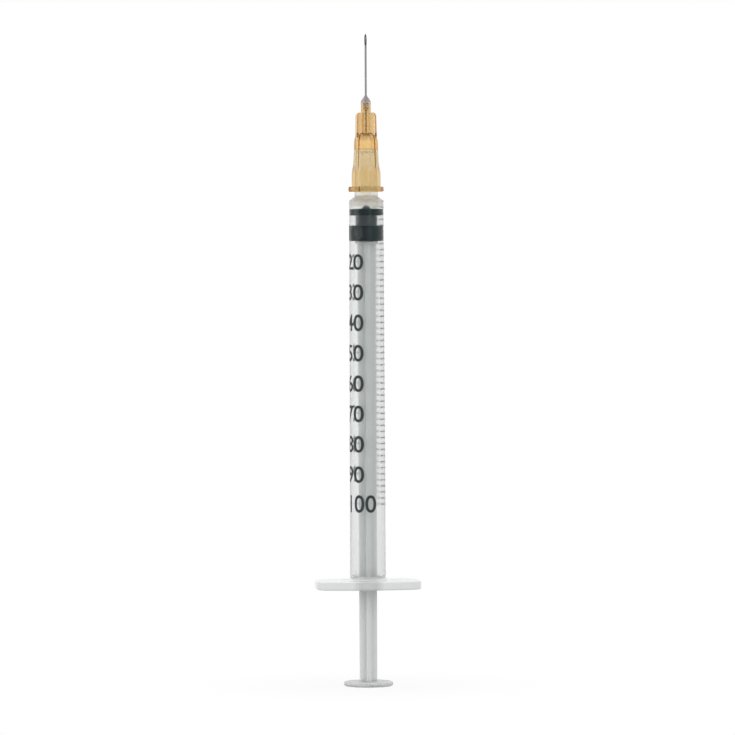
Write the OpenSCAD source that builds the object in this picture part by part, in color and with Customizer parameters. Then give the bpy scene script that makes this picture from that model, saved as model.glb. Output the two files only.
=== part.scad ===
// One-millilitre insulin syringe, standing on its thumb rest, needle up.
// The origin is the centre of the thumb rest's face, Z runs along the barrel
// and X runs along the wings of the finger flange.

/* [Barrel] */
// Inside diameter of the barrel, where the stopper runs
bore_d = 4.7; // [4.3:0.1:5.4]
// Wall of the barrel at the nozzle end
barrel_wall = 0.9; // [0.75:0.05:1.4]
// Extra wall at the flange end, from the draft of the mould
barrel_draft = 0.15; // [0.05:0.05:0.3]
// Length of the scale, from zero to one millilitre
scale_length = 57.6; // [50:0.2:66]
// Barrel behind the end of the scale, down to the back of the flange
spare_length = 16.1; // [12:0.1:22]
// Wall that closes the front of the bore, round the nozzle
front_wall = 0.65; // [0.5:0.05:1.2]
// Fall of the front face from the nozzle out to its edge
front_slope = 0.4; // [0.1:0.05:0.5]
// Rounding of the barrel's front edge
front_round = 0.25; // [0.1:0.05:0.4]
// Fillet at the foot of the nozzle
foot_fillet = 0.3; // [0.1:0.05:0.4]
// Height of the ridge that keeps the stopper from being pulled out
ridge_height = 0.1; // [0.05:0.01:0.15]
// Length of that ridge along the barrel
ridge_length = 0.9; // [0.5:0.1:1.5]
// Distance of the ridge from the back of the flange
ridge_setback = 0.7; // [0.5:0.1:4]
// Chamfer of the barrel's open mouth
mouth_chamfer = 0.3; // [0.1:0.05:0.5]

/* [Finger flange] */
// Width of the flange across both wings
flange_width = 19.9; // [16:0.1:26]
// Depth of the flange, front to back, at the barrel
flange_depth = 11.6; // [10:0.1:14]
// Depth of the flange at the ends of its wings
flange_end_depth = 9.6; // [8:0.1:10]
// Thickness of the flange
flange_thickness = 1.65; // [1.2:0.05:2.4]
// Radius of the corners of the wings
flange_corner = 2.6; // [1.5:0.1:3.5]
// Rounding of the flange's rims
flange_rim = 0.3; // [0.15:0.05:0.5]
// Fillet between the barrel and the flange
flange_fillet = 0.6; // [0.3:0.1:1]

/* [Nozzle] */
// Diameter of the slip nozzle at its tip
nozzle_tip_d = 3.93; // [3.9:0.01:4.05]
// Growth of the nozzle's diameter over its length, six per cent
nozzle_taper_share = 0.06; // [0.05:0.005:0.07]
// Length of the nozzle in front of the barrel
nozzle_length = 8.9; // [8:0.1:9.6]
// Diameter of the channel through the nozzle
channel_d = 1.3; // [1:0.1:1.4]
// Rounding of the nozzle's tip
nozzle_round = 0.2; // [0.1:0.05:0.3]

/* [Stopper] */
// Length of the stopper from its back to its front lip
stopper_length = 6.15; // [5.6:0.05:8]
// Running clearance between the stopper and the bore, all round
stopper_clearance = 0.02; // [0.01:0.01:0.05]
// Length of the front sealing ring
front_ring_length = 1.3; // [1:0.1:1.6]
// Length of the rear sealing ring
rear_ring_length = 2.9; // [2:0.1:3.2]
// Diameter of the waist between the rings
waist_d = 4.1; // [3.8:0.1:4.2]
// Rounding of the sealing rings' edges
ring_round = 0.2; // [0.1:0.05:0.4]
// Diameter of the nub on the stopper's face
nub_d = 1.7; // [1.3:0.1:1.9]
// Diameter of the flat on top of the nub
nub_top_d = 0.65; // [0.3:0.05:1]
// Height of the nub, which empties the nozzle's mouth
nub_height = 0.5; // [0.4:0.05:0.8]
// Clearance round the nub in the nozzle's mouth
nub_clearance = 0.2; // [0.1:0.05:0.3]
// Clear bore ahead of the stopper, as the syringe is set
stopper_gap = 1.45; // [0.5:0.05:4]

/* [Plunger rod] */
// Length from the thumb rest's face to the back of the stopper
plunger_length = 84.6; // [82:0.1:96]
// Width of the rod's ribs at the thumb rest
rod_width_thumb = 3.3; // [3:0.1:3.6]
// Width of the rod's ribs at the stopper
rod_width_stopper = 3.5; // [3:0.1:3.8]
// Thickness of the rod's ribs
rod_rib = 0.9; // [0.7:0.05:1.2]
// Diameter of the thumb rest
thumb_d = 9.35; // [8:0.05:12]
// Thickness of the thumb rest
thumb_thickness = 0.9; // [0.8:0.05:1.6]
// Rounding of the thumb rest's rim
thumb_rim = 0.35; // [0.2:0.05:0.4]
// Clearance round the disc that pushes the stopper
disc_clearance = 0.2; // [0.15:0.05:0.3]
// Thickness of that disc
disc_thickness = 0.5; // [0.3:0.05:0.8]
// Diameter of the knob that the stopper snaps over
knob_d = 2.5; // [2.1:0.1:2.8]
// Height of the knob
knob_height = 1.7; // [1.2:0.1:2.2]
// Diameter of the neck under the knob
neck_d = 1.5; // [1.2:0.1:1.7]
// Height of the neck
neck_height = 1.4; // [1:0.1:1.6]
// Clearance in which the rod turns in the stopper
knob_clearance = 0.05; // [0.03:0.01:0.08]

/* [Needle hub] */
// Length of the hub from its mouth to its nose
hub_length = 16.8; // [15.6:0.1:20]
// How far the nozzle reaches into the hub
hub_grip = 7.75; // [7:0.05:7.9]
// Clearance between the nozzle and the hub's socket, all round
taper_clearance = 0.01; // [0.005:0.005:0.03]
// Depth of the tapered socket
socket_depth = 8; // [7.8:0.1:8.3]
// Outside diameter of the hub's skirt
skirt_d = 5.5; // [5.3:0.05:6]
// Length of the skirt
skirt_length = 3.15; // [2.6:0.05:4]
// Length of the flare from the skirt to the body
flare_length = 2.3; // [1.5:0.1:3]
// Diameter of the body above the flare
body_low_d = 4.88; // [4.8:0.02:5.1]
// Diameter of the body under the dome
body_top_d = 4.5; // [4.4:0.02:4.7]
// Length of the body between the flare and the dome
body_length = 3.9; // [3.4:0.1:4.6]
// Height of the dome that closes the body
dome_height = 1.8; // [1.4:0.1:2]
// Diameter of the nose
nose_d = 1.9; // [1.8:0.1:2.2]
// Length of the nose above the ribs
nose_length = 1.8; // [1.4:0.1:2.4]
// Number of ribs round the hub
hub_ribs = 4; // [3:1:6]
// Thickness of the hub's ribs
hub_rib = 0.5; // [0.35:0.05:0.6]
// Diameter across opposite ribs at their top
hub_rib_d = 4.76; // [4.6:0.02:5]
// Diameter across opposite ribs where they meet the flare
hub_rib_low_d = 5.3; // [5:0.02:5.4]
// Rounding of the ribs' top corners
hub_rib_round = 0.8; // [0.4:0.1:1]
// Diameter across the locking lugs
lug_d = 7.8; // [7.6:0.05:7.85]
// Angle that each lug spans
lug_angle = 38; // [24:1:44]
// Height of the lugs and of the collar between them
lug_height = 0.95; // [0.8:0.05:1.4]
// Rounding of the lugs' rims
lug_rim = 0.25; // [0.1:0.05:0.35]
// Diameter of the collar between the lugs
collar_d = 6.7; // [6.3:0.05:6.9]
// Diameter of the chamber past the socket
chamber_d = 2.9; // [2.4:0.1:3.2]
// Length of the chamber below its vault
chamber_length = 1.35; // [1:0.05:1.6]
// Height of the vault that closes the chamber
vault_height = 1.4; // [1.1:0.1:1.6]
// How far the needle tube stops short of the vault
tube_setback = 0.5; // [0.3:0.05:1]

/* [Needle tube] */
// Outside diameter of the needle tube, 26 gauge
tube_d = 0.45; // [0.4:0.01:0.5]
// Bore of the needle tube
tube_bore_d = 0.26; // [0.2:0.01:0.28]
// Length of the tube beyond the nose of the hub
tube_reach = 13.1; // [9:0.1:16]
// Angle of the first grind at the point
bevel_angle = 11; // [9:0.5:14]
// Angle of the two side grinds at the point
lancet_angle = 17; // [15:0.5:20]
// Turn of each side grind about the tube
lancet_turn = 38; // [25:1:45]
// Share of the point's length that the side grinds take
lancet_share = 0.45; // [0.3:0.05:0.6]
// How far the bonded end is ground down, so that the adhesive keys to it
key_depth = 0.01; // [0.005:0.005:0.02]

/* [Adhesive] */
// Height of the adhesive bead above the nose
bead_height = 1.4; // [1:0.1:1.8]
// Depth of the well in the nose that the adhesive fills
well_depth = 1.2; // [0.8:0.1:1.6]
// Diameter of the well
well_d = 1.1; // [0.9:0.05:1.3]
// Gap between bonded faces
bond_gap = 0.01; // [0.005:0.005:0.02]

/* [Hidden] */
$fn = 96;

// Overrun of cuts past the faces that they open
over = 0.5;
// Facets of the discs that the flange's rounded outline is drawn over
rim_fn = 32;
// Steps in a rounded edge, in a long curve, and along half a side of the flange
edge_steps = 5;
curve_steps = 10;
side_steps = 5;
// Steps over the ridge in the barrel's mouth and over the stopper's nub
bump_steps = 8;

// Places along the barrel, from the thumb rest up
stopper_front_z = plunger_length + stopper_length;
bore_front_z = stopper_front_z + stopper_gap;
barrel_front_z = bore_front_z + front_wall;
barrel_back_z = bore_front_z - scale_length - spare_length;
flange_front_z = barrel_back_z + flange_thickness;
ridge_back_z = barrel_back_z + ridge_setback;
nozzle_tip_z = barrel_front_z + nozzle_length;

// Radii of the barrel
bore_r = bore_d / 2;
barrel_front_r = bore_r + barrel_wall;
barrel_back_r = barrel_front_r + barrel_draft;
channel_r = channel_d / 2;
nub_mouth_r = nub_d / 2 + nub_clearance;
nub_mouth_depth = nub_height + nub_clearance;

// Nozzle radius at a height, by the taper measured from the tip
function nozzle_r(z) = nozzle_tip_d / 2 + nozzle_taper_share * (nozzle_tip_z - z) / 2;

// Places along the hub
hub_mouth_z = nozzle_tip_z - hub_grip;
hub_nose_z = hub_mouth_z + hub_length;
socket_end_z = hub_mouth_z + socket_depth;
flare_z = hub_mouth_z + skirt_length;
body_z = flare_z + flare_length;
dome_z = body_z + body_length;
dome_top_z = dome_z + dome_height;
rib_top_z = hub_nose_z - nose_length;
chamber_top_z = socket_end_z + chamber_length;
vault_top_z = chamber_top_z + vault_height;
tube_low_z = vault_top_z + tube_setback;
tube_tip_z = hub_nose_z + tube_reach;
well_z = hub_nose_z - well_depth;
bead_low_z = hub_nose_z + bond_gap;
bead_top_z = bead_low_z + bead_height;

// The lugs stand in line with one pair of ribs, a half step round from the flange
lug_turn = 45;
// Shares of the bead's overhang and height, from the nose's edge to the tube
bead_shares = [[1, 0], [0.97, 0.16], [0.88, 0.34], [0.5, 0.62], [0.14, 0.86], [0, 1]];

// Points on an arc about a centre, with its own radius along each axis
function arc(centre, rx, ry, from, to, steps) = [
    for (i = [0:steps])
        let (a = from + (to - from) * i / steps)
            [centre[0] + rx * cos(a), centre[1] + ry * sin(a)]
];

// Points on a smooth S from one point to another, straight up at both ends
function swell(low, high, steps) = [
    for (i = [0:steps])
        let (t = i / steps)
            [low[0] + (high[0] - low[0]) * (1 - cos(180 * t)) / 2, low[1] + (high[1] - low[1]) * t]
];

// Outside and inside of the barrel and its nozzle, as one turned outline
module barrel_outline() {
    foot_r = nozzle_r(barrel_front_z + foot_fillet);
    polygon(concat(
        [
            [bore_r + mouth_chamfer, barrel_back_z],
            [barrel_back_r + flange_fillet, barrel_back_z],
            [barrel_back_r + flange_fillet, flange_front_z]
        ],
        arc([barrel_back_r + flange_fillet, flange_front_z + flange_fillet],
            flange_fillet, flange_fillet, 270, 180, edge_steps),
        arc([barrel_front_r - front_round, barrel_front_z - front_slope - front_round],
            front_round, front_round, 0, 90, edge_steps),
        arc([foot_r + foot_fillet, barrel_front_z + foot_fillet],
            foot_fillet, foot_fillet, 270, 180, edge_steps),
        arc([nozzle_r(nozzle_tip_z) - nozzle_round, nozzle_tip_z - nozzle_round],
            nozzle_round, nozzle_round, 0, 90, edge_steps),
        [
            [channel_r, nozzle_tip_z],
            [channel_r, bore_front_z + nub_mouth_depth],
            [nub_mouth_r, bore_front_z],
            [bore_r, bore_front_z]
        ],
        [
            for (i = [bump_steps:-1:0])
                let (t = i / bump_steps)
                    [bore_r - ridge_height * (1 - cos(360 * t)) / 2, ridge_back_z + ridge_length * t]
        ],
        [[bore_r, barrel_back_z + mouth_chamfer]]
    ));
}

// Disc with a rounded rim, for the flange, the thumb rest and the lugs
module rimmed_disc(r, height, rim) {
    rotate_extrude()
        polygon(concat(
            [[0, 0]],
            arc([r - rim, rim], rim, rim, 270, 360, edge_steps),
            arc([r - rim, height - rim], rim, rim, 0, 90, edge_steps),
            [[0, height]]
        ));
}

// Flat disc swept along the flange's outline, which is deepest at the barrel
module finger_flange() {
    corner_x = flange_width / 2 - flange_corner;
    crown = (flange_depth - flange_end_depth) / 2;
    translate([0, 0, barrel_back_z])
        hull()
            for (i = [-side_steps:side_steps], side = [-1, 1])
                let (y = flange_end_depth / 2 - flange_corner + crown * cos(90 * i / side_steps))
                    translate([corner_x * i / side_steps, side * y, 0])
                        rimmed_disc(flange_corner, flange_thickness, flange_rim, $fn = rim_fn);
}

module barrel() {
    color([0.86, 0.88, 0.88, 0.45]) {
        rotate_extrude() barrel_outline();
        difference() {
            finger_flange();
            translate([0, 0, barrel_back_z - over])
                cylinder(r = barrel_back_r, h = flange_thickness + 2 * over);
        }
    }
}

module stopper() {
    ring_r = bore_r - stopper_clearance;
    rear_top_z = plunger_length + rear_ring_length;
    front_low_z = stopper_front_z - front_ring_length;
    neck_hole_r = neck_d / 2 + knob_clearance;
    knob_hole_r = knob_d / 2 + knob_clearance;
    knob_low_z = plunger_length + neck_height - knob_clearance;
    knob_top_z = plunger_length + neck_height + knob_height + knob_clearance;
    color([0.16, 0.19, 0.19])
        rotate_extrude()
            polygon(concat(
                [[neck_hole_r, plunger_length]],
                arc([ring_r - ring_round, plunger_length + ring_round],
                    ring_round, ring_round, 270, 360, edge_steps),
                arc([ring_r - ring_round, rear_top_z - ring_round], ring_round, ring_round, 0, 90, edge_steps),
                [[waist_d / 2, rear_top_z], [waist_d / 2, front_low_z]],
                arc([ring_r - ring_round, front_low_z + ring_round],
                    ring_round, ring_round, 270, 360, edge_steps),
                arc([ring_r - ring_round, stopper_front_z - ring_round],
                    ring_round, ring_round, 0, 90, edge_steps),
                [
                    for (i = [0:bump_steps])
                        let (t = i / bump_steps)
                            [
                                nub_d / 2 * (1 - t) + nub_top_d / 2 * t,
                                stopper_front_z + nub_height * (1 - cos(180 * t)) / 2
                            ]
                ],
                [
                    [0, stopper_front_z + nub_height],
                    [0, knob_top_z],
                    [knob_hole_r - knob_height / 2, knob_top_z],
                    [knob_hole_r, knob_top_z - knob_height / 2],
                    [knob_hole_r, knob_low_z],
                    [neck_hole_r, knob_low_z]
                ]
            ));
}

// Flat rib of the rod in the XZ plane, a little wider towards the stopper
module rod_rib_plate(top_z) {
    rotate([90, 0, 0])
        translate([0, 0, -rod_rib / 2])
            linear_extrude(rod_rib)
                polygon([
                    [-rod_width_thumb / 2, thumb_thickness / 2],
                    [rod_width_thumb / 2, thumb_thickness / 2],
                    [rod_width_stopper / 2, top_z],
                    [-rod_width_stopper / 2, top_z]
                ]);
}

module plunger_rod() {
    disc_r = bore_r - disc_clearance;
    disc_top_z = plunger_length - knob_clearance;
    disc_z = disc_top_z - disc_thickness;
    neck_top_z = plunger_length + neck_height;
    knob_top_z = neck_top_z + knob_height;
    color([0.80, 0.82, 0.82, 0.85]) {
        rimmed_disc(thumb_d / 2, thumb_thickness, thumb_rim);
        for (turn = [0, 90]) rotate([0, 0, turn]) rod_rib_plate(disc_z + disc_thickness / 2);
        rotate_extrude()
            polygon([
                [0, disc_z],
                [disc_r, disc_z],
                [disc_r, disc_top_z],
                [neck_d / 2, disc_top_z],
                [neck_d / 2, neck_top_z],
                [knob_d / 2, neck_top_z],
                [knob_d / 2, knob_top_z - knob_height / 2],
                [knob_d / 2 - knob_height / 2, knob_top_z],
                [0, knob_top_z]
            ]);
    }
}

// Outside of the hub without its ribs and lugs
module hub_outline() {
    core_r = nose_d / 2;
    polygon(concat(
        [[0, hub_mouth_z]],
        arc([collar_d / 2 - lug_rim, hub_mouth_z + lug_rim], lug_rim, lug_rim, 270, 360, edge_steps),
        arc([collar_d / 2 - lug_rim, hub_mouth_z + lug_height - lug_rim],
            lug_rim, lug_rim, 0, 90, edge_steps),
        [[skirt_d / 2, hub_mouth_z + lug_height]],
        swell([skirt_d / 2, flare_z], [body_low_d / 2, body_z], curve_steps),
        arc([core_r, dome_z], body_top_d / 2 - core_r, dome_height, 0, 90, curve_steps),
        [[core_r, hub_nose_z], [0, hub_nose_z]]
    ));
}

// Space inside the hub: the tapered socket, the vaulted chamber, the tube's seat and the well
module hub_hollow() {
    seat_r = tube_d / 2 + bond_gap;
    mouth_low_z = hub_mouth_z - over;
    well_r = well_d / 2 + bond_gap;
    rotate_extrude()
        polygon(concat(
            [
                [0, mouth_low_z],
                [nozzle_r(mouth_low_z) + taper_clearance, mouth_low_z],
                [nozzle_r(socket_end_z) + taper_clearance, socket_end_z],
                [chamber_d / 2, socket_end_z]
            ],
            arc([seat_r, chamber_top_z], chamber_d / 2 - seat_r, vault_height, 0, 90, curve_steps),
            [
                [seat_r, well_z - bond_gap],
                [well_r, well_z - bond_gap],
                [well_r, hub_nose_z + over],
                [0, hub_nose_z + over]
            ]
        ));
}

// One rib, from inside the flare up to the nose, with draft and a rounded top corner
module hub_rib_plate() {
    rib_r = hub_rib_d / 2;
    rib_low_z = flare_z;
    rotate([90, 0, 0])
        translate([0, 0, -hub_rib / 2])
            linear_extrude(hub_rib)
                polygon(concat(
                    [[0, rib_low_z], [hub_rib_low_d / 2, rib_low_z]],
                    arc([rib_r - hub_rib_round, rib_top_z - hub_rib_round],
                        hub_rib_round, hub_rib_round, 0, 90, edge_steps),
                    [[0, rib_top_z]]
                ));
}

// Sector that one locking lug fills, past the collar to the full diameter
module lug() {
    lug_r = lug_d / 2;
    half = lug_angle / 2;
    reach = lug_r / cos(half) + over;
    intersection() {
        translate([0, 0, hub_mouth_z]) rimmed_disc(lug_r, lug_height, lug_rim);
        translate([0, 0, hub_mouth_z - over])
            linear_extrude(lug_height + 2 * over)
                polygon([[0, 0], [reach * cos(half), -reach * sin(half)], [reach * cos(half), reach * sin(half)]]);
    }
}

module needle_hub() {
    color([0.87, 0.70, 0.44, 0.8])
        difference() {
            union() {
                rotate_extrude() hub_outline();
                for (i = [0:hub_ribs - 1])
                    rotate([0, 0, lug_turn + i * 360 / hub_ribs]) hub_rib_plate();
                for (side = [0, 180]) rotate([0, 0, lug_turn + side]) lug();
            }
            hub_hollow();
        }
}

// Half-space above a plane that leans back from the tube's point
module grind(angle, low_z) {
    size = tube_reach;
    translate([tube_d / 2, 0, low_z])
        rotate([0, -angle, 0])
            translate([0, -size / 2, 0])
                cube([size, size, 2 * size]);
}

module needle_tube() {
    bevel_z = tube_tip_z - tube_d / tan(bevel_angle);
    lancet_z = tube_tip_z - lancet_share * tube_d / tan(bevel_angle);
    tube_r = tube_d / 2;
    color([0.62, 0.63, 0.66])
        difference() {
            union() {
                translate([0, 0, bead_top_z])
                    cylinder(r = tube_r, h = tube_tip_z - bead_top_z);
                translate([0, 0, tube_low_z])
                    cylinder(r1 = tube_r - key_depth, r2 = tube_r, h = bead_top_z - tube_low_z);
            }
            translate([0, 0, tube_low_z - over])
                cylinder(r = tube_bore_d / 2, h = tube_tip_z - tube_low_z + 2 * over);
            rotate([0, 0, 270]) grind(bevel_angle, bevel_z);
            for (turn = [-lancet_turn, lancet_turn])
                rotate([0, 0, 270 + turn]) grind(lancet_angle, lancet_z);
        }
}

module adhesive_bead() {
    hole_r = tube_d / 2 + bond_gap;
    overhang = nose_d / 2 - hole_r;
    color([0.66, 0.62, 0.62])
        rotate_extrude()
            polygon(concat(
                [[hole_r, well_z], [well_d / 2, well_z], [well_d / 2, bead_low_z]],
                [for (p = bead_shares) [hole_r + overhang * p[0], bead_low_z + bead_height * p[1]]]
            ));
}

barrel();
stopper();
plunger_rod();
needle_hub();
needle_tube();
adhesive_bead();
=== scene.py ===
"""An insulin syringe standing on its thumb rest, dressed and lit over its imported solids.

Sizes in the dataclasses are in millimetres, and millimetres(x) turns them to Blender's metres.
The syringe's axis is Z, its needle points up, and the front of the syringe looks along -Y.
"""

import logging
import math
from collections.abc import Sequence
from dataclasses import dataclass, field
from enum import Enum

import bmesh
import bpy
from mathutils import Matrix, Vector


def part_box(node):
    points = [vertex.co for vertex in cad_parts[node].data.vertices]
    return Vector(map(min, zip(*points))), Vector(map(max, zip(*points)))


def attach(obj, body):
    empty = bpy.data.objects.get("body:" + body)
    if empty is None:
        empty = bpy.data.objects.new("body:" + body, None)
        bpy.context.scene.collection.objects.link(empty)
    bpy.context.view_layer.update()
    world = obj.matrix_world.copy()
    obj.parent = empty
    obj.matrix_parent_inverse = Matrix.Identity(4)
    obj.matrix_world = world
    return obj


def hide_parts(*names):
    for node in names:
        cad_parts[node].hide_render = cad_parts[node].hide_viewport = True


logging.basicConfig(level=logging.INFO, format="%(name)s: %(message)s")
log = logging.getLogger("syringe")

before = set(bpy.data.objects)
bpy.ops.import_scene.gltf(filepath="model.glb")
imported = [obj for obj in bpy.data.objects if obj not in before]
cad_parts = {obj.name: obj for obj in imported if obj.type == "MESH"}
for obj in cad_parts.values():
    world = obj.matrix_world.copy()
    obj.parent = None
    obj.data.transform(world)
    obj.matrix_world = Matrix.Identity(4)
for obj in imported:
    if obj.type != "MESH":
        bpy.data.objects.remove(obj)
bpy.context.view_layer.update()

Point = tuple[float, float]
BMesh = bmesh.types.BMesh
Material = bpy.types.Material
Node = bpy.types.Node
NodeSocket = bpy.types.NodeSocket
NodeTree = bpy.types.NodeTree
Settings = dict[str | int, object]
Links = dict[str | int, NodeSocket]

METRES_PER_MM = 0.001
MM_PER_METRE = 1000

# The sRGB curve has a straight foot near black, and a power above it.
SRGB_WHITE = 255
SRGB_FOOT_END = 0.04045
SRGB_FOOT_SLOPE = 12.92
SRGB_LIFT = 0.055
SRGB_POWER = 2.4

# A Mix node's colour sockets share their names with its number sockets, so they go by their place.
MIX_FIRST, MIX_SECOND, MIXED = 6, 7, 2

# Noise seldom leaves this range, so a finish spreads its own range over it.
NOISE_RANGE = {"From Min": 0.3, "From Max": 0.7}

QUARTER_TURN = 90


def millimetres(value: float) -> float:
    """Turns millimetres to metres."""
    return value * METRES_PER_MM


def in_millimetres(value: float) -> float:
    """Turns metres to millimetres."""
    return value * MM_PER_METRE


def linear(hex_colour: str) -> tuple[float, float, float, float]:
    """Turns an sRGB hex colour to the linear colour that shaders take.

    Args:
        hex_colour: six hex digits, such as "c0c4c3".

    Returns:
        Red, green, blue and an alpha of one.
    """
    parts = (int(hex_colour[i : i + 2], 16) / SRGB_WHITE for i in (0, 2, 4))
    red, green, blue = (
        part / SRGB_FOOT_SLOPE
        if part <= SRGB_FOOT_END
        else ((part + SRGB_LIFT) / (1 + SRGB_LIFT)) ** SRGB_POWER
        for part in parts
    )
    return red, green, blue, 1.0


def add_node(
    tree: NodeTree, kind: str, settings: Settings | None = None, links: Links | None = None
) -> Node:
    """Adds one shader node.

    Args:
        tree: the node tree that takes it.
        kind: the node's type name.
        settings: attributes by name, and input values by the socket's name or place.
        links: output sockets by the name or place of the input that each feeds.

    Returns:
        The new node.
    """
    node = tree.nodes.new(kind)
    for name, value in (settings or {}).items():
        if hasattr(node, str(name)):
            setattr(node, name, value)
        else:
            node.inputs[name].default_value = value
    for name, source in (links or {}).items():
        tree.links.new(source, node.inputs[name])
    return node


def new_material(name: str) -> tuple[Material, NodeTree, Node]:
    """Makes an empty node material.

    Args:
        name: the material's plain name.

    Returns:
        The material, its tree and its output node.
    """
    material = bpy.data.materials.new(name)
    material.use_nodes = True
    tree = material.node_tree
    tree.nodes.clear()
    return material, tree, tree.nodes.new("ShaderNodeOutputMaterial")


def place_on_piece(tree: NodeTree) -> Node:
    """Adds the place of a point on a piece, in metres from the foot of the syringe.

    Args:
        tree: the material's node tree.

    Returns:
        The node whose outputs X, Y and Z hold the place.
    """
    place = add_node(tree, "ShaderNodeTexCoord")
    return add_node(tree, "ShaderNodeSeparateXYZ", {}, {"Vector": place.outputs["Object"]})


def up_to(
    tree: NodeTree, low_mm: float, high_mm: float, low: float = 0.0, high: float = 1.0
) -> NodeSocket:
    """Adds a value that eases from one to another along the syringe.

    Args:
        tree: the material's node tree.
        low_mm: height above the floor where it starts to change.
        high_mm: height where it stops.
        low: the value below the first height.
        high: the value above the second height.

    Returns:
        The socket that holds the value.
    """
    settings = {
        "From Min": millimetres(low_mm),
        "From Max": millimetres(high_mm),
        "To Min": low,
        "To Max": high,
        "interpolation_type": "SMOOTHSTEP",
    }
    height = place_on_piece(tree).outputs["Z"]
    return add_node(tree, "ShaderNodeMapRange", settings, {"Value": height}).outputs["Result"]


def two_tone(tree: NodeTree, pattern: NodeSocket, first: str, second: str) -> NodeSocket:
    """Adds a colour that wanders between two tones as a pattern does.

    Args:
        tree: the material's node tree.
        pattern: the pattern's output socket.
        first: the hex colour where the pattern is low.
        second: the hex colour where it is high.

    Returns:
        The socket that holds the colour.
    """
    share = add_node(tree, "ShaderNodeMapRange", NOISE_RANGE, {"Value": pattern})
    mix = add_node(
        tree,
        "ShaderNodeMix",
        {"data_type": "RGBA", MIX_FIRST: linear(first), MIX_SECOND: linear(second)},
        {"Factor": share.outputs["Result"]},
    )
    return mix.outputs[MIXED]


class Axis(Enum):
    """Direction in which a pattern is drawn out, as the scale along X, Y and Z."""

    NONE = (1.0, 1.0, 1.0)
    LENGTH = (1.0, 1.0, 0.06)


@dataclass(frozen=True)
class Pattern:
    """A noise pattern of a real size, fixed to the piece.

    Its grains are size_mm apart and drawn out along an axis. Detail counts the finer layers of
    noise on it, and roughness is the strength of each beside the one before.
    """

    size_mm: float
    detail: float = 2.0
    along: Axis = Axis.NONE
    roughness: float = 0.55

    def on(self, tree: NodeTree) -> NodeSocket:
        """Adds the pattern.

        Args:
            tree: the material's node tree.

        Returns:
            The socket that holds it, from 0 to 1.
        """
        place = add_node(tree, "ShaderNodeTexCoord")
        stretch = add_node(
            tree,
            "ShaderNodeMapping",
            {"Scale": self.along.value},
            {"Vector": place.outputs["Object"]},
        )
        noise = add_node(
            tree,
            "ShaderNodeTexNoise",
            {
                "Scale": 1.0 / millimetres(self.size_mm),
                "Detail": self.detail,
                "Roughness": self.roughness,
            },
            {"Vector": stretch.outputs["Vector"]},
        )
        return noise.outputs["Fac"]


@dataclass(frozen=True)
class Surface:
    """What a pattern does to a surface: patches from smooth to rough, and relief.

    The relief is depth_mm high, and strength is how much of it shows.
    """

    smooth: float
    rough: float
    depth_mm: float = 0.0
    strength: float = 1.0

    def links(self, tree: NodeTree, pattern: NodeSocket) -> Links:
        """Adds the patches and, where there is any, the relief.

        Args:
            tree: the material's node tree.
            pattern: the pattern's output socket.

        Returns:
            Sockets by the name of the shader's input that each feeds.
        """
        ends = {**NOISE_RANGE, "To Min": self.smooth, "To Max": self.rough}
        patches = add_node(tree, "ShaderNodeMapRange", ends, {"Value": pattern})
        links = {"Roughness": patches.outputs["Result"]}
        if self.depth_mm:
            height = {"Strength": self.strength, "Distance": millimetres(self.depth_mm)}
            relief = add_node(tree, "ShaderNodeBump", height, {"Height": pattern})
            links["Normal"] = relief.outputs["Normal"]
        return links


@dataclass(frozen=True)
class Stage:
    """Look of a moulding at one height, from a height that the moulding names."""

    height_mm: float
    colour: str
    clearness: float = 1.0


def band(low_mm: float, high_mm: float, colour: str, clearness: float = 1.0) -> tuple[Stage, ...]:
    """Makes the two stages between which a moulding keeps one look.

    Args:
        low_mm: height where the look starts.
        high_mm: height where it ends.
        colour: its hex colour.
        clearness: the share of light that goes through.

    Returns:
        The lower and the upper stage.
    """
    return Stage(low_mm, colour, clearness), Stage(high_mm, colour, clearness)


def stages_from(tree: NodeTree, origin_mm: float, stages: Sequence[Stage]) -> Node:
    """Adds a colour, and a clearness as its alpha, that change from stage to stage.

    Args:
        tree: the material's node tree.
        origin_mm: height above the floor from which the stages are measured.
        stages: the stages, lowest first.

    Returns:
        The colour ramp node.
    """
    low, high = stages[0].height_mm, stages[-1].height_mm
    ends = {"From Min": millimetres(origin_mm + low), "From Max": millimetres(origin_mm + high)}
    height = place_on_piece(tree).outputs["Z"]
    share = add_node(tree, "ShaderNodeMapRange", ends, {"Value": height})
    ramp = add_node(tree, "ShaderNodeValToRGB", {}, {"Fac": share.outputs["Result"]})
    bands = ramp.color_ramp.elements
    for stage in stages[1:-1]:
        bands.new((stage.height_mm - low) / (high - low))
    for knot, stage in zip(bands, stages):
        knot.color = (*linear(stage.colour)[:3], stage.clearness)
    return ramp


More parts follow.
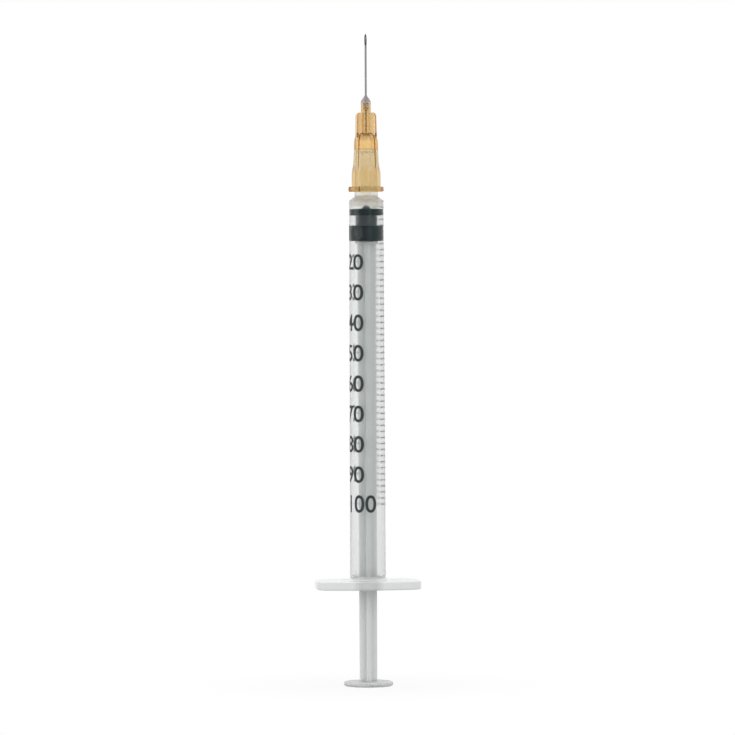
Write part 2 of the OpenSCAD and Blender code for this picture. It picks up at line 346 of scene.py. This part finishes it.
@dataclass(frozen=True)
class ThickSection:
    """Milkiness of a clear moulding where its section is thick and cools slowly.

    Slow cooling grows coarser crystals, so the flange scatters light and looks white, and the
    bore shows through its middle as a soft grey band. The band is centred on band_x_mm and keeps
    its look for middle_mm to each side, and the wings have theirs from wing_mm outwards. The
    barrel above turns clear between top_mm, the front face of the flange, and fade_mm higher.
    """

    wing_clearness: float = 0.12
    middle_clearness: float = 0.42
    top_mm: float = 20.15
    fade_mm: float = 1.2
    band_x_mm: float = -0.35
    middle_mm: float = 1.4
    wing_mm: float = 3.0

    def clearness(self, tree: NodeTree, above: NodeSocket) -> NodeSocket:
        """Adds the clearness, which falls down the barrel to the flange and out along its wings.

        Args:
            tree: the material's node tree.
            above: the clearness above the flange.

        Returns:
            The socket that holds the clearness.
        """
        place = place_on_piece(tree)
        off = add_node(
            tree,
            "ShaderNodeMath",
            {"operation": "SUBTRACT", 1: millimetres(self.band_x_mm)},
            {0: place.outputs["X"]},
        )
        side = add_node(
            tree, "ShaderNodeMath", {"operation": "ABSOLUTE"}, {0: off.outputs["Value"]}
        )
        flange = add_node(
            tree,
            "ShaderNodeMapRange",
            {
                "From Min": millimetres(self.middle_mm),
                "From Max": millimetres(self.wing_mm),
                "To Min": self.middle_clearness,
                "To Max": self.wing_clearness,
            },
            {"Value": side.outputs["Value"]},
        )
        whole = add_node(
            tree,
            "ShaderNodeMapRange",
            {
                "From Min": millimetres(self.top_mm),
                "From Max": millimetres(self.top_mm + self.fade_mm),
                "interpolation_type": "SMOOTHSTEP",
            },
            {"Value": place.outputs["Z"], "To Min": flange.outputs["Result"], "To Max": above},
        )
        return whole.outputs["Result"]


@dataclass(frozen=True)
class ClearMoulding:
    """Clear or tinted polypropylene, injection moulded against a polished steel tool.

    The eye sees through it, but not cleanly: crystals in the plastic take a little light from
    every millimetre of wall, so its thick edges are greyer than its thin walls. The melt's flow
    leaves long faint streaks, a few millimetres apart.
    """

    name: str
    haze: str
    haze_density: float
    surface: Surface
    origin_mm: float
    stages: tuple[Stage, ...]
    thick: ThickSection | None = None
    ior: float = 1.49
    flow: Pattern = Pattern(2.2, detail=3.0, along=Axis.LENGTH)

    def build(self) -> Material:
        """Makes the material.

        Returns:
            The material.
        """
        material, tree, out = new_material(self.name)
        ramp = stages_from(tree, self.origin_mm, self.stages)
        links = {"Base Color": ramp.outputs["Color"]}
        links |= self.surface.links(tree, self.flow.on(tree))
        if self.thick:
            links["Transmission Weight"] = self.thick.clearness(tree, ramp.outputs["Alpha"])
        plastic = {"IOR": self.ior, "Transmission Weight": 1.0}
        shader = add_node(tree, "ShaderNodeBsdfPrincipled", plastic, links)
        crystals = {"Color": linear(self.haze), "Density": self.haze_density}
        haze = add_node(tree, "ShaderNodeVolumeAbsorption", crystals)
        tree.links.new(shader.outputs["BSDF"], out.inputs["Surface"])
        tree.links.new(haze.outputs["Volume"], out.inputs["Volume"])
        return material


@dataclass(frozen=True)
class MilkyMoulding:
    """Natural, unclarified polypropylene, injection moulded with a fine satin surface.

    It is milky, so light goes a few millimetres into it and comes back out, which fills its
    shade. The flat thumb rest is painted a shade darker than the ribs of the rod: painted shade
    for its rim, which gets little light from below. The real grain of the satin is a few
    hundredths of a millimetre, and it is drawn coarse so that it shows.
    """

    name: str = "milky_polypropylene"
    colour: str = "d8dbda"
    cloud: str = "d2d5d4"
    # rest is painted shade: the thumb rest is darker, as its rim gets little light from below.
    rest: str = "cccfce"
    rest_mm: float = 0.9
    rest_fade_mm: float = 0.3
    ior: float = 1.49
    depth_mm: float = 4.0
    clouds: Pattern = Pattern(2.4, detail=3.0, along=Axis.LENGTH)
    satin: Pattern = Pattern(0.25)
    surface: Surface = Surface(smooth=0.28, rough=0.42, depth_mm=0.003, strength=0.6)

    def build(self) -> Material:
        """Makes the material.

        Returns:
            The material.
        """
        material, tree, out = new_material(self.name)
        rod = two_tone(tree, self.clouds.on(tree), self.colour, self.cloud)
        # Below rest_mm the colour turns to the painted shade of the thumb rest.
        above_rest = up_to(tree, self.rest_mm, self.rest_mm + self.rest_fade_mm)
        colour = add_node(
            tree,
            "ShaderNodeMix",
            {"data_type": "RGBA", MIX_FIRST: linear(self.rest)},
            {"Factor": above_rest, MIX_SECOND: rod},
        )
        shader = add_node(
            tree,
            "ShaderNodeBsdfPrincipled",
            {
                "IOR": self.ior,
                "Subsurface Weight": 1.0,
                "Subsurface Radius": (1.0, 1.0, 1.0),
                "Subsurface Scale": millimetres(self.depth_mm),
            },
            {
                "Base Color": colour.outputs[MIXED],
                **self.surface.links(tree, self.satin.on(tree)),
            },
        )
        tree.links.new(shader.outputs["BSDF"], out.inputs["Surface"])
        return material


@dataclass(frozen=True)
class Elastomer:
    """Bromobutyl rubber, moulded and washed in silicone oil.

    The rubber is nearly black with a green cast, and the oil gives it a soft, faint sheen. The
    real grain of its mould is about a tenth of this one, which is drawn coarse so that it shows.
    """

    name: str = "siliconed_rubber"
    colour: str = "0b2023"
    dusty: str = "142c2f"
    sheen: str = "b4d6dc"
    ior: float = 1.52
    gloss: float = 0.12
    grain: Pattern = Pattern(0.18, detail=3.0)
    surface: Surface = Surface(smooth=0.4, rough=0.55, depth_mm=0.006, strength=0.7)

    def build(self) -> Material:
        """Makes the material.

        Returns:
            The material.
        """
        material, tree, out = new_material(self.name)
        grain = self.grain.on(tree)
        shader = add_node(
            tree,
            "ShaderNodeBsdfPrincipled",
            {
                "IOR": self.ior,
                "Specular IOR Level": self.gloss,
                "Specular Tint": linear(self.sheen),
            },
            {
                "Base Color": two_tone(tree, grain, self.colour, self.dusty),
                **self.surface.links(tree, grain),
            },
        )
        tree.links.new(shader.outputs["BSDF"], out.inputs["Surface"])
        return material


@dataclass(frozen=True)
class DrawnSteel:
    """Stainless steel tube, drawn through a die and electropolished.

    Drawing leaves hair lines along the tube, so it glints in a long thin streak. The real lines
    are a few thousandths of a millimetre apart, and they are drawn coarse so that they show.
    """

    name: str = "drawn_stainless_steel"
    colour: str = "b4b6b9"
    lines: Pattern = Pattern(0.03, along=Axis.LENGTH)
    surface: Surface = Surface(smooth=0.12, rough=0.2, depth_mm=0.002, strength=0.5)

    def build(self) -> Material:
        """Makes the material.

        Returns:
            The material.
        """
        material, tree, out = new_material(self.name)
        shader = add_node(
            tree,
            "ShaderNodeBsdfPrincipled",
            {"Base Color": linear(self.colour), "Metallic": 1.0},
            self.surface.links(tree, self.lines.on(tree)),
        )
        tree.links.new(shader.outputs["BSDF"], out.inputs["Surface"])
        return material


@dataclass(frozen=True)
class CuredAdhesive:
    """Epoxy adhesive, dropped in the hub's well and cured in place.

    Its skin, above the hub's nose, set in the air: it is glossy and half clear, and clumps of
    filler make it a lilac grey. The plug in the well below is white and cloudy.
    """

    name: str = "cured_adhesive"
    colour: str = "c8c0bf"
    filler: str = "b4aba9"
    plug: str = "fbf8f4"
    plug_clearness: float = 0.1
    skin_clearness: float = 0.5
    nose_mm: float = 110.8
    fade_mm: float = 0.3
    ior: float = 1.5
    roughness: float = 0.3
    clumps: Pattern = Pattern(0.3, detail=3.0)
    depth_mm: float = 0.01
    strength: float = 0.5

    def build(self) -> Material:
        """Makes the material.

        Returns:
            The material.
        """
        material, tree, out = new_material(self.name)
        clumps = self.clumps.on(tree)
        skin = two_tone(tree, clumps, self.colour, self.filler)
        low, high = self.nose_mm - self.fade_mm, self.nose_mm + self.fade_mm
        colour = add_node(
            tree,
            "ShaderNodeMix",
            {"data_type": "RGBA", MIX_FIRST: linear(self.plug)},
            {"Factor": up_to(tree, low, high), MIX_SECOND: skin},
        )
        height = {"Strength": self.strength, "Distance": millimetres(self.depth_mm)}
        relief = add_node(tree, "ShaderNodeBump", height, {"Height": clumps})
        shader = add_node(
            tree,
            "ShaderNodeBsdfPrincipled",
            {"IOR": self.ior, "Roughness": self.roughness},
            {
                "Transmission Weight": up_to(
                    tree, low, high, self.plug_clearness, self.skin_clearness
                ),
                "Base Color": colour.outputs[MIXED],
                "Normal": relief.outputs["Normal"],
            },
        )
        tree.links.new(shader.outputs["BSDF"], out.inputs["Surface"])
        return material


@dataclass(frozen=True)
class PrintedInk:
    """Black ink, screen printed on the barrel and cured.

    It is matt and a little uneven, because the screen thins it at its threads, which are about a
    tenth of a millimetre apart.
    """

    name: str = "screen_printed_ink"
    colour: str = "343b3a"
    thin: str = "414746"
    ior: float = 1.5
    gloss: float = 0.25
    screen: Pattern = Pattern(0.12)
    surface: Surface = Surface(smooth=0.5, rough=0.7)

    def build(self) -> Material:
        """Makes the material.

        Returns:
            The material.
        """
        material, tree, out = new_material(self.name)
        screen = self.screen.on(tree)
        shader = add_node(
            tree,
            "ShaderNodeBsdfPrincipled",
            {"IOR": self.ior, "Specular IOR Level": self.gloss},
            {
                "Base Color": two_tone(tree, screen, self.colour, self.thin),
                **self.surface.links(tree, screen),
            },
        )
        tree.links.new(shader.outputs["BSDF"], out.inputs["Surface"])
        return material


def dress(node: str, material: Material, slot: str) -> None:
    """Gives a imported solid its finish.

    Args:
        node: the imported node's name.
        material: the finish.
        slot: the record's material slot that the finish stands for.
    """
    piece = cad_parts[node]
    piece.data.materials.clear()
    piece.data.materials.append(material)
    log.info("%s dressed as %s (%s)", node, material.name, slot)


def mesh_piece(
    name: str, mesh: BMesh, material: Material, body: str
) -> bpy.types.Object:
    """Makes an object of a mesh, and lets it ride on a body.

    Args:
        name: the piece's name.
        mesh: its mesh, which is freed.
        material: its finish.
        body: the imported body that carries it.

    Returns:
        The new object.
    """
    data = bpy.data.meshes.new(name)
    mesh.to_mesh(data)
    mesh.free()
    data.materials.append(material)
    piece = bpy.data.objects.new(name, data)
    bpy.context.scene.collection.objects.link(piece)
    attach(piece, body)
    log.info("%s rides on %s with %d faces", name, body, len(data.polygons))
    return piece


def put_in_order(mesh: BMesh) -> None:
    """Sorts a mesh's parts by place, so that it comes out the same in each run.

    An extrusion leaves them in the order of their addresses in memory. A vertex has no verts of
    its own, so it stands for itself.

    Args:
        mesh: the mesh.
    """
    for parts in (mesh.verts, mesh.edges, mesh.faces):
        places = {part: sorted(v.co[:] for v in getattr(part, "verts", [part])) for part in parts}
        ranks = {part: rank for rank, part in enumerate(sorted(parts, key=places.get))}
        parts.sort(key=ranks.get)


def lathe(profile: Sequence[Point], steps: int) -> BMesh:
    """Turns a closed outline about Z.

    Args:
        profile: radius and height of each point in metres, on the axis at both ends.
        steps: faces round the axis.

    Returns:
        The turned mesh.
    """
    mesh = bmesh.new()
    turns = [2 * math.pi * i / steps for i in range(steps)]
    rings = []
    for radius, height in profile:
        places = [(radius * math.sin(t), -radius * math.cos(t), height) for t in turns]
        if radius <= 0:
            places = [(0.0, 0.0, height)]
        rings.append([mesh.verts.new(place) for place in places])
    for low, high in zip(rings, rings[1:]):
        for i in range(steps):
            j = (i + 1) % steps
            corners = [
                low[i % len(low)],
                low[j % len(low)],
                high[j % len(high)],
                high[i % len(high)],
            ]
            mesh.faces.new(list(dict.fromkeys(corners)))
    bmesh.ops.recalc_face_normals(mesh, faces=mesh.faces)
    for face in mesh.faces:
        face.smooth = True
    return mesh


class Corner(Enum):
    """Outer corner of a ring, as the angle where its rounding starts, in degrees."""

    LOWER = 270
    UPPER = 0


def rounded(centre: Point, corner: Corner, radius: float, steps: int = 6) -> list[Point]:
    """Rounds a corner with a quarter circle.

    Args:
        centre: the circle's centre.
        corner: the corner that it rounds.
        radius: its radius.
        steps: the number of steps along it.

    Returns:
        The points, from the lowest up.
    """
    turns = [math.radians(corner.value + QUARTER_TURN * i / steps) for i in range(steps + 1)]
    return [(centre[0] + radius * math.cos(t), centre[1] + radius * math.sin(t)) for t in turns]


@dataclass
class Barrel:
    """The clear barrel: its finish, and the outside that the print is laid on."""

    front_r: float = 3.25
    back_r: float = 3.40
    nozzle: float = 8.9
    front_wall: float = 0.65
    haze: str = "8f9694"
    haze_density: float = 82.0
    surface: Surface = Surface(smooth=0.16, rough=0.26, depth_mm=0.0015)
    back_z: float = field(init=False)
    front_z: float = field(init=False)

    def __post_init__(self) -> None:
        """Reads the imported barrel's back and front, in millimetres."""
        low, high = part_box("barrel")
        self.back_z = in_millimetres(low[2])
        self.front_z = in_millimetres(high[2]) - self.nozzle

    def zero_z(self) -> float:
        """Height of the front end of the bore, where the scale starts, in millimetres."""
        return self.front_z - self.front_wall

    def outer_r(self, height: float) -> float:
        """Outside radius of the drafted barrel at a height, both in millimetres."""
        share = (self.front_z - height) / (self.front_z - self.back_z)
        return self.front_r + (self.back_r - self.front_r) * share

    def finish(self) -> ClearMoulding:
        """Sets out the clear finish, with its stages by height from the barrel's front.

        Returns:
            The finish.
        """
        stages = (
            # From here down the wall is thin and clear.
            Stage(-1.95, "fcfdfd"),
            # The front wall is thick, so it cools slowly and turns milky.
            # The warm cream from the front wall up the nozzle is painted amber light from the hub.
            # The milkiness is the thick plastic's own.
            *band(-1.45, -0.55, "f2f0e9", 0.87),
            # The root of the nozzle is thicker still, and the nozzle clears above it.
            *band(-0.25, 0.25, "f7f5ef", 0.5),
            *band(0.55, 1.35, "fefaf0", 0.97),
            *band(1.95, 8.35, "fffdf8"),
            # A darker ring at the rounded end of the nozzle is painted shade, where its tip bends
            # light away.
            *band(8.45, 8.65, "efeadf"),
            Stage(8.75, "fffdf8"),
        )
        return ClearMoulding(
            name="clear_polypropylene",
            haze=self.haze,
            haze_density=self.haze_density,
            surface=self.surface,
            origin_mm=self.front_z,
            stages=stages,
            thick=ThickSection(),
        )

    def dress(self) -> None:
        """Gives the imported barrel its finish."""
        dress("barrel", self.finish().build(), "barrel_plastic")


@dataclass
class PrintedScale:
    """The printed scale: a numeral at each ten units, and a graduation at each two.

    Spans, centres and starts are angles about the barrel's axis in degrees, from its front
    towards +X. Pair and triple are for numerals of two and three digits. The first numerals are
    a little smaller, and they grow until full_height_units. A rise lifts a numeral above its
    reading. Boldness thickens the strokes and weld joins doubled points, both as a share of the
    font's size. The ink lies a gap above the wall.
    """

    barrel: Barrel
    length: float = 57.6
    units: int = 100
    label_step: int = 10
    mark_step: int = 2
    digit_height: float = 3.2
    first_height: float = 2.9
    first_rise: float = -0.25
    full_height_units: int = 40
    pair_span: float = 80.0
    pair_centre: float = -56.0
    triple_span: float = 101.0
    triple_centre: float = -27.0
    triple_height: float = 3.35
    triple_rise: float = 0.2
    boldness: float = 0.013
    curve_steps: int = 6
    weld: float = 1e-5
    mark_start: float = 75.0
    long_span: float = 160.0
    short_span: float = 75.0
    mark_width: float = 0.22
    gap: float = 0.003
    ink: float = 0.015
    slice_angle: float = 4.0
    finish: PrintedInk = field(default_factory=PrintedInk)

    def height_of(self, units: float) -> float:
        """Height of a reading on the scale, in millimetres."""
        return self.barrel.zero_z() - self.length * units / self.units

    def wrap(self, mesh: BMesh) -> None:
        """Cuts a flat mesh in slices, bends it round the barrel and makes it as thick as the ink.

        Args:
            mesh: flat faces whose x is an angle in degrees and whose y is a height in millimetres.
        """
        low = min(v.co.x for v in mesh.verts)
        high = max(v.co.x for v in mesh.verts)
        cut = low + self.slice_angle
        while cut < high:
            whole = mesh.verts[:] + mesh.edges[:] + mesh.faces[:]
            bmesh.ops.bisect_plane(mesh, geom=whole, plane_co=(cut, 0, 0), plane_no=(1, 0, 0))
            cut += self.slice_angle
        grown = bmesh.ops.extrude_face_region(mesh, geom=mesh.faces[:])
        tops = {v for v in grown["geom"] if isinstance(v, bmesh.types.BMVert)}
        for v in mesh.verts:
            turn = math.radians(v.co.x)
            radius = self.barrel.outer_r(v.co.y) + self.gap + (self.ink if v in tops else 0.0)
            place = (radius * math.sin(turn), -radius * math.cos(turn), v.co.y)
            v.co = Vector(millimetres(c) for c in place)
        bmesh.ops.recalc_face_normals(mesh, faces=mesh.faces)
        put_in_order(mesh)

    def digits(self, units: int) -> BMesh:
        """Draws the digits of a reading flat, in the font's own size.

        Args:
            units: the reading.

        Returns:
            The flat mesh.
        """
        curve = bpy.data.curves.new("numeral", "FONT")
        curve.body = str(units)
        curve.offset = self.boldness
        curve.resolution_u = self.curve_steps
        lettering = bpy.data.objects.new("numeral", curve)
        bpy.context.scene.collection.objects.link(lettering)
        flat = lettering.evaluated_get(bpy.context.evaluated_depsgraph_get()).to_mesh()
        mesh = bmesh.new()
        mesh.from_mesh(flat)
        bpy.data.objects.remove(lettering)
        bpy.data.curves.remove(curve)
        bmesh.ops.remove_doubles(mesh, verts=mesh.verts, dist=self.weld)
        return mesh

    def numeral(self, units: int) -> BMesh:
        """Draws one numeral flat, in degrees across and millimetres up, at its reading.

        Args:
            units: the reading.

        Returns:
            The flat mesh.
        """
        mesh = self.digits(units)
        span, centre = self.pair_span, self.pair_centre
        height, rise = self.digit_height, 0.0
        if units >= self.units:
            span, centre = self.triple_span, self.triple_centre
            height, rise = self.triple_height, self.triple_rise
        elif units < self.full_height_units:
            share = (units - self.label_step) / (self.full_height_units - self.label_step)
            height = self.first_height + (self.digit_height - self.first_height) * share
            rise = self.first_rise if units == self.label_step else 0.0
        middle = self.height_of(units) + rise
        xs, ys = [v.co.x for v in mesh.verts], [v.co.y for v in mesh.verts]
        for v in mesh.verts:
            v.co.x = centre + span * ((v.co.x - min(xs)) / (max(xs) - min(xs)) - 0.5)
            v.co.y = middle + height * ((v.co.y - min(ys)) / (max(ys) - min(ys)) - 0.5)
        return mesh

    def mark(self, units: int) -> BMesh:
        """Draws one graduation line flat, in degrees across and millimetres up.

        Args:
            units: the reading, which has a long line where it has a numeral.

        Returns:
            The flat mesh.
        """
        span = self.short_span if units % self.label_step else self.long_span
        height, half = self.height_of(units), self.mark_width / 2
        mesh = bmesh.new()
        ends = ((self.mark_start, -half), (self.mark_start, half))
        near = [mesh.verts.new((x, height + y, 0)) for x, y in ends]
        far = [mesh.verts.new((x + span, height + y, 0)) for x, y in ends]
        mesh.faces.new([near[0], near[1], far[1], far[0]])
        return mesh

    def build(self) -> None:
        """Prints the numerals and the graduations on the barrel."""
        ink = self.finish.build()
        for units in range(self.label_step, self.units + 1, self.label_step):
            numeral = self.numeral(units)
            self.wrap(numeral)
            mesh_piece(f"numeral_{units}", numeral, ink, "barrel")
        marks = bmesh.new()
        for units in range(0, self.units + 1, self.mark_step):
            mark = self.mark(units)
            self.wrap(mark)
            data = bpy.data.meshes.new("mark")
            mark.to_mesh(data)
            mark.free()
            marks.from_mesh(data)
            bpy.data.meshes.remove(data)
        mesh_piece("graduations", marks, ink, "barrel")


@dataclass
class Stopper:
    """The rubber stopper, whose rings press flat on the bore and so look as wide as the barrel.

    Bite is how far the rings are squeezed into the wall, and edge rounds off their corners.
    """

    bore_r: float = 2.35
    bite: float = 0.006
    length: float = 6.15
    front_ring: float = 1.3
    rear_ring: float = 3.0
    waist_r: float = 2.05
    edge: float = 0.08
    nub_r: float = 1.2
    nub_top_r: float = 0.15
    nub_height: float = 0.66
    nub_steps: int = 10
    steps: int = 96
    finish: Elastomer = field(default_factory=Elastomer)

    def nub(self) -> list[Point]:
        """Draws the outline of the bell-shaped nub.

        Returns:
            Radius and height of each point, in millimetres above the stopper's back.
        """
        shares = [i / self.nub_steps for i in range(self.nub_steps + 1)]
        half, side = self.nub_height / 2, self.nub_r - self.nub_top_r
        bell = [
            (self.nub_r - side * t, self.length + half * (1 - math.cos(math.pi * t)))
            for t in shares
        ]
        return [*bell, (0.0, self.length + self.nub_height)]

    def outline(self) -> list[Point]:
        """Draws the outline of the whole stopper.

        Returns:
            Radius and height of each point, in millimetres above the stopper's back.
        """
        ring_r = self.bore_r + self.bite
        inner_r = ring_r - self.edge
        front_low = self.length - self.front_ring
        return [
            (0.0, 0.0),
            *rounded((inner_r, self.edge), Corner.LOWER, self.edge),
            *rounded((inner_r, self.rear_ring - self.edge), Corner.UPPER, self.edge),
            (self.waist_r, self.rear_ring),
            (self.waist_r, front_low),
            *rounded((inner_r, front_low + self.edge), Corner.LOWER, self.edge),
            *rounded((inner_r, self.length - self.edge), Corner.UPPER, self.edge),
            *self.nub(),
        ]

    def build(self) -> None:
        """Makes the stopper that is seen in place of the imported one."""
        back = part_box("stopper")[0][2]
        profile = [(millimetres(r), back + millimetres(z)) for r, z in self.outline()]
        mesh = lathe(profile, self.steps)
        piece = mesh_piece(
            "rubber_stopper", mesh, self.finish.build(), "stopper"
        )
        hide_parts("stopper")


@dataclass
class Plunger:
    """The milky plunger rod with its thumb rest."""

    finish: MilkyMoulding = field(default_factory=MilkyMoulding)

    def dress(self) -> None:
        """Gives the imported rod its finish."""
        dress("plunger_rod", self.finish.build(), "rod_plastic")


@dataclass
class Needle:
    """The amber hub, the steel tube and the adhesive that joins them."""

    haze: str = "f4d87a"
    haze_density: float = 850.0
    surface: Surface = Surface(smooth=0.12, rough=0.2, depth_mm=0.0015)
    clear: str = "fef9ef"
    tube: DrawnSteel = field(default_factory=DrawnSteel)
    bead: CuredAdhesive = field(default_factory=CuredAdhesive)

    def hub(self) -> ClearMoulding:
        """Sets out the hub's amber finish, with its stages by height from the hub's nose.

        Returns:
            The finish.
        """
        stages = (
            # The collar between the lugs is duller.
            *band(-16.8, -15.9, "f2f3ec"),
            *band(-15.6, -8.95, self.clear),
            # A darker band follows the step inside the socket.
            *band(-8.86, -8.72, "e6e2d6"),
            *band(-8.63, -7.3, self.clear),
            # The ribs are thick, so they are deeper in colour.
            *band(-6.5, -1.9, "eee7db"),
            # From here up the nose is a duller, greyer amber.
            Stage(-1.4, "e0d4c2"),
        )
        return ClearMoulding(
            name="amber_polypropylene",
            haze=self.haze,
            haze_density=self.haze_density,
            surface=self.surface,
            origin_mm=in_millimetres(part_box("needle_hub")[1][2]),
            stages=stages,
        )

    def dress(self) -> None:
        """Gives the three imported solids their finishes."""
        dress("needle_hub", self.hub().build(), "hub_plastic")
        dress("needle_tube", self.tube.build(), "needle_steel")
        dress("adhesive_bead", self.bead.build(), "adhesive")


class Ray(Enum):
    """Kinds of ray that see the white of the surroundings, by their names in Blender."""

    DIRECT = "Is Camera Ray"
    THROUGH_GLASS = "Is Transmission Ray"
    REFLECTED = "Is Glossy Ray"


@dataclass(frozen=True)
class Lamp:
    """A soft rectangular lamp: where it hangs, its width and height, and its power."""

    name: str
    place: tuple[float, float, float]
    size: tuple[float, float]
    watts: float


@dataclass
class Studio:
    """White floor and surroundings, soft lamps, and the camera of the photograph.

    The camera stands in front and a little to the left, level with the foot of the needle's hub.
    Surround is the level of the even light from all round, and paint_grey is the share of light
    that the floor sends back. In reflections the room turns from dark in front to white behind,
    between the directions whose Y is dark_y and white_y.
    """

    frame_px: int = 735
    mm_per_px: float = 0.19
    aim_x: float = 0.09
    aim_z: float = 60.6
    camera_z: float = 97.0
    distance: float = 1150.0
    azimuth: float = -5.0
    roll: float = -0.27
    sensor: float = 36.0
    clip_near: float = 50.0
    clip_far: float = 50000.0
    white: str = "ffffff"
    floor_size: float = 12000.0
    floor_sides: int = 64
    floor_white: float = 0.93
    paint_grey: float = 0.5
    shadow_reach: float = 40.0
    surround: float = 0.78
    front_dark: float = 0.03
    back_white: float = 1.0
    dark_y: float = -0.95
    white_y: float = 0.1
    lamps: tuple[Lamp, ...] = (
        Lamp("key", (420, -700, 620), (500, 500), 1.4),
        Lamp("fill", (-820, -200, 300), (600, 700), 1.4),
        Lamp("overhead", (-60, 300, 900), (700, 700), 0.8),
        Lamp("strip", (320, -950, 60), (330, 900), 0.55),
    )

    def camera(self) -> None:
        """Makes the camera and frames the syringe as the photograph does."""
        turn = math.radians(self.azimuth)
        aim = Vector((millimetres(self.aim_x), 0, millimetres(self.aim_z)))
        flat = millimetres(self.distance)
        place = Vector((math.sin(turn) * flat, -math.cos(turn) * flat, millimetres(self.camera_z)))
        data = bpy.data.cameras.new("camera")
        data.sensor_width = self.sensor
        reach = (aim - place).length
        data.lens = self.sensor * reach / millimetres(self.frame_px * self.mm_per_px)
        data.clip_start = millimetres(self.clip_near)
        data.clip_end = millimetres(self.clip_far)
        camera = bpy.data.objects.new("camera", data)
        camera.location = place
        camera.rotation_euler = (aim - place).to_track_quat("-Z", "Y").to_euler()
        camera.rotation_euler.rotate_axis("Z", math.radians(self.roll))
        bpy.context.scene.collection.objects.link(camera)
        bpy.context.scene.camera = camera

    def seen_by(self, tree: NodeTree, rays: Sequence[Ray]) -> NodeSocket:
        """Adds nodes that are one for some kinds of ray, and zero for the others.

        Args:
            tree: the node tree.
            rays: the kinds of ray.

        Returns:
            The socket that holds it.
        """
        path = add_node(tree, "ShaderNodeLightPath")
        seen = path.outputs[rays[0].value]
        for ray in rays[1:]:
            either = {0: seen, 1: path.outputs[ray.value]}
            larger = add_node(tree, "ShaderNodeMath", {"operation": "MAXIMUM"}, either)
            seen = larger.outputs["Value"]
        return seen

    def world(self) -> None:
        """Surrounds the scene with an even light.

        It is plain white where it is seen directly or through glass. Reflections see a room that
        is dark behind the camera and white behind the syringe.
        """
        world = bpy.data.worlds.new("studio")
        bpy.context.scene.world = world
        world.use_nodes = True
        tree = world.node_tree
        tree.nodes.clear()
        place = add_node(tree, "ShaderNodeTexCoord")
        side = add_node(tree, "ShaderNodeSeparateXYZ", {}, {"Vector": place.outputs["Generated"]})
        room = add_node(
            tree,
            "ShaderNodeMapRange",
            {
                "From Min": self.dark_y,
                "From Max": self.white_y,
                "To Min": self.front_dark,
                "To Max": self.back_white,
                "interpolation_type": "SMOOTHSTEP",
            },
            {"Value": side.outputs["Y"]},
        )
        reflected = add_node(
            tree,
            "ShaderNodeMix",
            {"A": self.surround},
            {"Factor": self.seen_by(tree, (Ray.REFLECTED,)), "B": room.outputs["Result"]},
        )
        plain = self.seen_by(tree, (Ray.DIRECT, Ray.THROUGH_GLASS))
        level = add_node(
            tree, "ShaderNodeMix", {"B": 1.0}, {"Factor": plain, "A": reflected.outputs["Result"]}
        )
        sky = add_node(
            tree,
            "ShaderNodeBackground",
            {"Color": linear(self.white)},
            {"Strength": level.outputs["Result"]},
        )
        out = add_node(tree, "ShaderNodeOutputWorld")
        tree.links.new(sky.outputs["Background"], out.inputs["Surface"])

    def floor_paint(self) -> Material:
        """Makes the floor's paint.

        It is white where it is seen directly, through glass or in a reflection, apart from a
        little grey around the syringe that keeps its faint shadow. All other light meets the
        grey alone.

        Returns:
            The material.
        """
        material, tree, out = new_material("white_floor")
        grey = (self.paint_grey, self.paint_grey, self.paint_grey, 1)
        paint = add_node(tree, "ShaderNodeBsdfDiffuse", {"Color": grey})
        glow = add_node(
            tree, "ShaderNodeEmission", {"Color": linear(self.white), "Strength": 1.0}
        )
        place = add_node(tree, "ShaderNodeTexCoord")
        away = add_node(
            tree, "ShaderNodeVectorMath", {"operation": "LENGTH"}, {0: place.outputs["Object"]}
        )
        white = add_node(
            tree,
            "ShaderNodeMapRange",
            {
                "From Min": 0.0,
                "From Max": millimetres(self.shadow_reach),
                "To Min": self.floor_white,
                "To Max": 1.0,
                "interpolation_type": "SMOOTHSTEP",
            },
            {"Value": away.outputs["Value"]},
        )
        share = add_node(
            tree,
            "ShaderNodeMath",
            {"operation": "MULTIPLY"},
            {0: self.seen_by(tree, tuple(Ray)), 1: white.outputs["Result"]},
        )
        mix = add_node(
            tree,
            "ShaderNodeMixShader",
            {},
            {0: share.outputs["Value"], 1: paint.outputs["BSDF"], 2: glow.outputs["Emission"]},
        )
        tree.links.new(mix.outputs["Shader"], out.inputs["Surface"])
        return material

    def floor(self) -> None:
        """Lays the floor, which is part of the stage."""
        mesh = bmesh.new()
        radius = millimetres(self.floor_size) / 2
        bmesh.ops.create_circle(mesh, cap_ends=True, segments=self.floor_sides, radius=radius)
        data = bpy.data.meshes.new("floor")
        mesh.to_mesh(data)
        mesh.free()
        data.materials.append(self.floor_paint())
        floor = bpy.data.objects.new("floor", data)
        bpy.context.scene.collection.objects.link(floor)

    def hang(self, lamp: Lamp) -> None:
        """Hangs one lamp that faces the middle of the syringe.

        Args:
            lamp: the lamp.
        """
        data = bpy.data.lights.new(lamp.name, "AREA")
        data.shape = "RECTANGLE"
        data.size, data.size_y = (millimetres(side) for side in lamp.size)
        data.energy = lamp.watts
        light = bpy.data.objects.new(lamp.name, data)
        light.location = Vector(millimetres(c) for c in lamp.place)
        aim = Vector((0, 0, millimetres(self.aim_z)))
        light.rotation_euler = (aim - light.location).to_track_quat("-Z", "Y").to_euler()
        bpy.context.scene.collection.objects.link(light)

    def build(self) -> None:
        """Sets up the whole studio."""
        bpy.context.scene.view_settings.view_transform = "Standard"
        self.camera()
        self.world()
        self.floor()
        for lamp in self.lamps:
            self.hang(lamp)
        log.info("studio has a camera, a floor and %d lamps", len(self.lamps))


def main() -> None:
    """Builds the studio, and dresses each sub-assembly in order."""
    Studio().build()
    barrel = Barrel()
    barrel.dress()
    PrintedScale(barrel).build()
    Stopper().build()
    Plunger().dress()
    Needle().dress()


if __name__ == "__main__":
    main()
